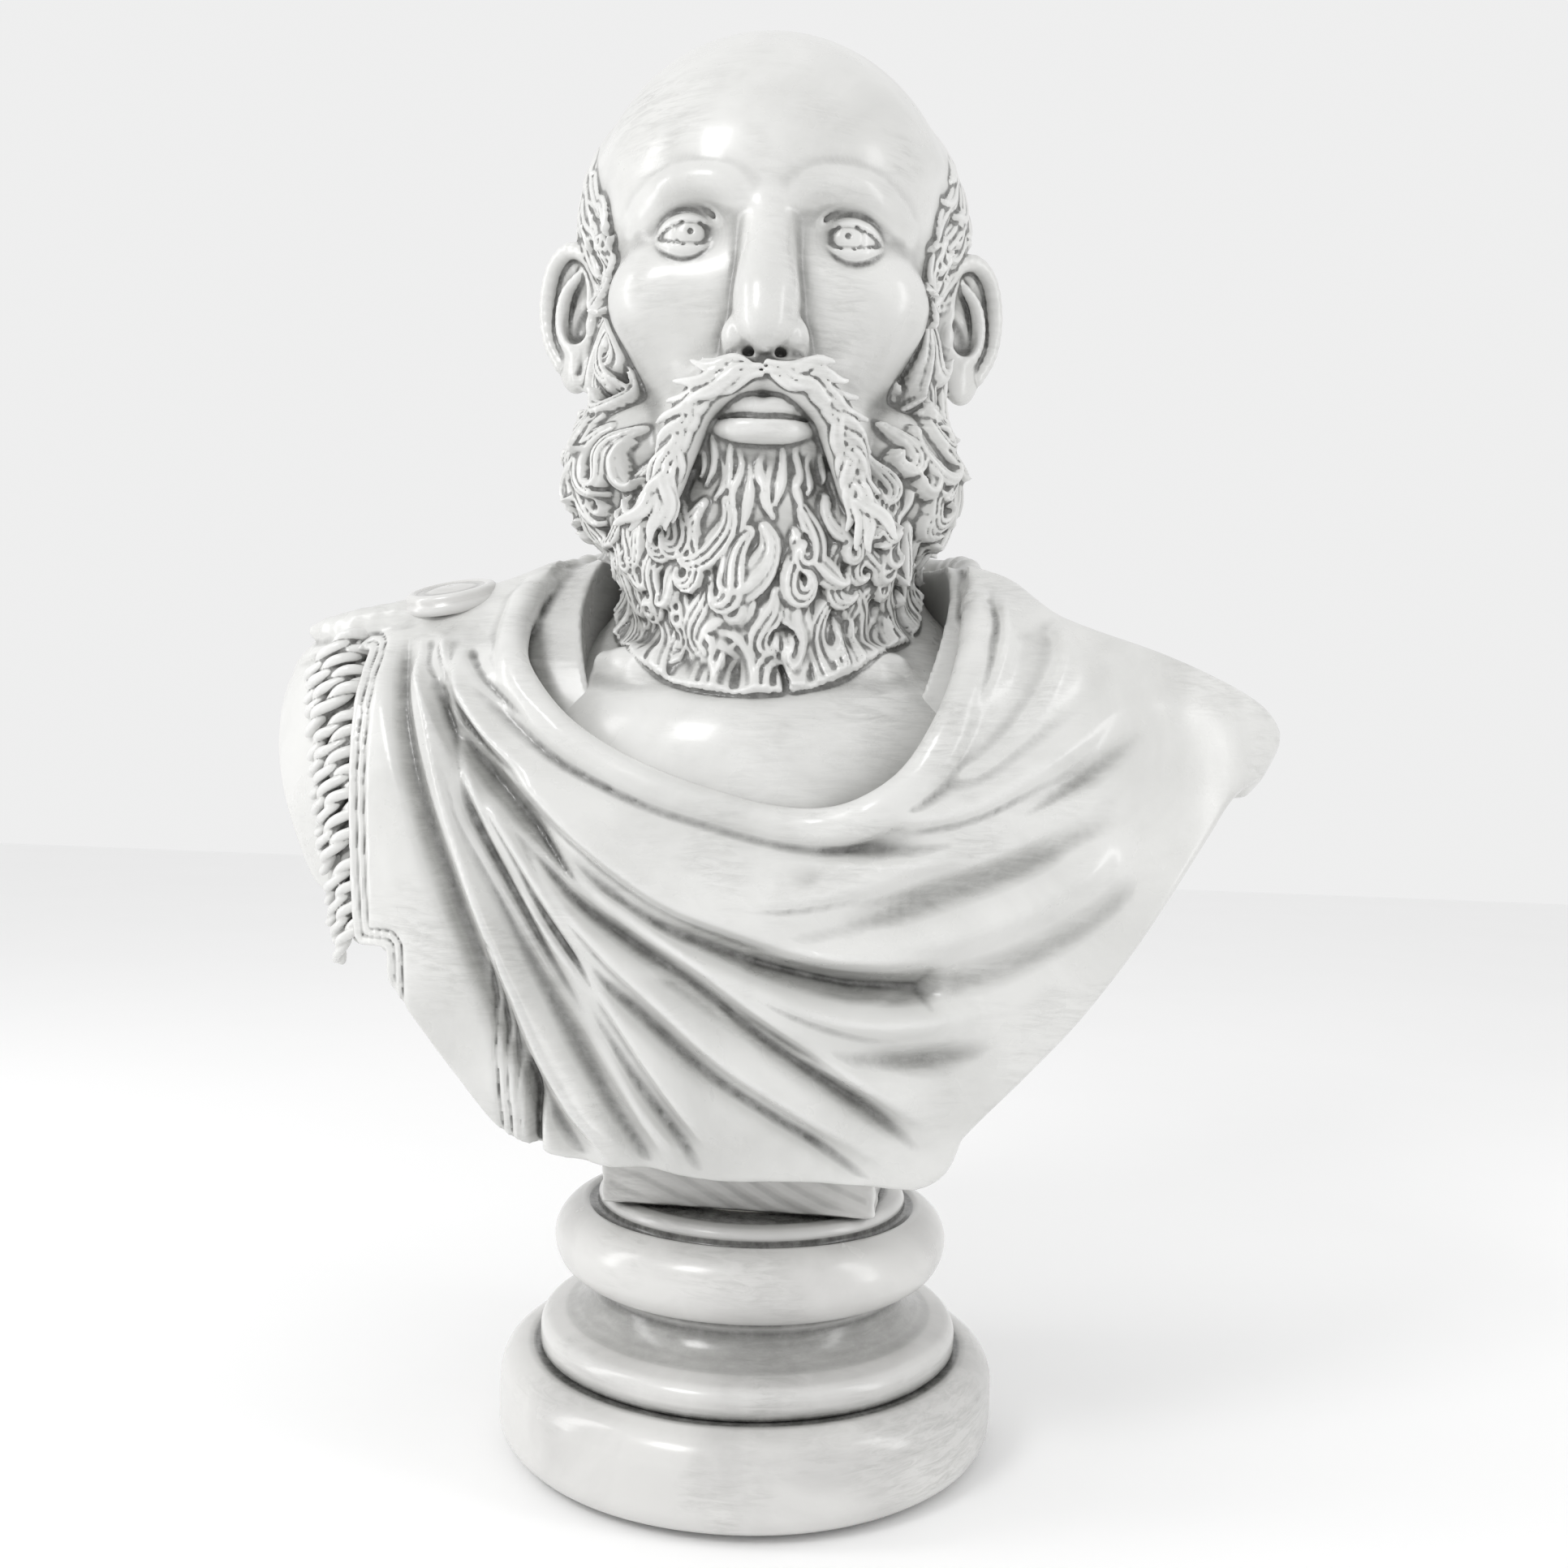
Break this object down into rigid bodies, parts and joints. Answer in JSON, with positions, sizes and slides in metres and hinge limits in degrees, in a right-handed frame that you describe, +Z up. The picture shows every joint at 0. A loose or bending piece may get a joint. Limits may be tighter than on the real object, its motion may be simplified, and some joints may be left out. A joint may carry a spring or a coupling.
{
  "type": "marble bust",
  "caption": "Draped marble bust of a bearded man, hollow at the back, bolted through a tablet to a turned round socle and free to turn on its rod.",
  "frame": {"origin": "centre of the underside of the felt disc, on the axis of the socle and rod", "axes": "+Z up along the rod, -Y towards the front of the chest, +X towards the bust's proper left shoulder"},
  "size_m": [0.456, 0.2286, 0.6406],
  "materials": {
    "marble": "honed white marble with a grey wash in the recesses",
    "socle_marble": "polished off-white marble with faint grey veins",
    "stainless_steel": "turned stainless steel",
    "nylon": "natural nylon",
    "felt": "pressed wool felt"
  },
  "bodies": {
    "socle": {"socle_plinth": "socle_marble", "socle_drum": "socle_marble", "flanged_bush": "nylon", "plate_washer": "stainless_steel", "felt_disc": "felt"},
    "bust": {"head": "marble", "draped_torso": "marble", "back_post": "marble", "index_tablet": "socle_marble", "shoulder_brooch": "marble", "brooch_dowel": "stainless_steel", "shoulder_fringe": "marble", "neck_dowels": "stainless_steel", "anchor_sleeve": "stainless_steel", "tie_rod": "stainless_steel", "spring_washer": "stainless_steel", "tie_nut": "stainless_steel"}
  },
  "joints": [
    {"name": "bust_turn", "type": "hinge", "parent": "socle", "child": "bust", "pos_m": [0, 0, 0], "axis": [0, 0, 1], "continuous": true}
  ]
}
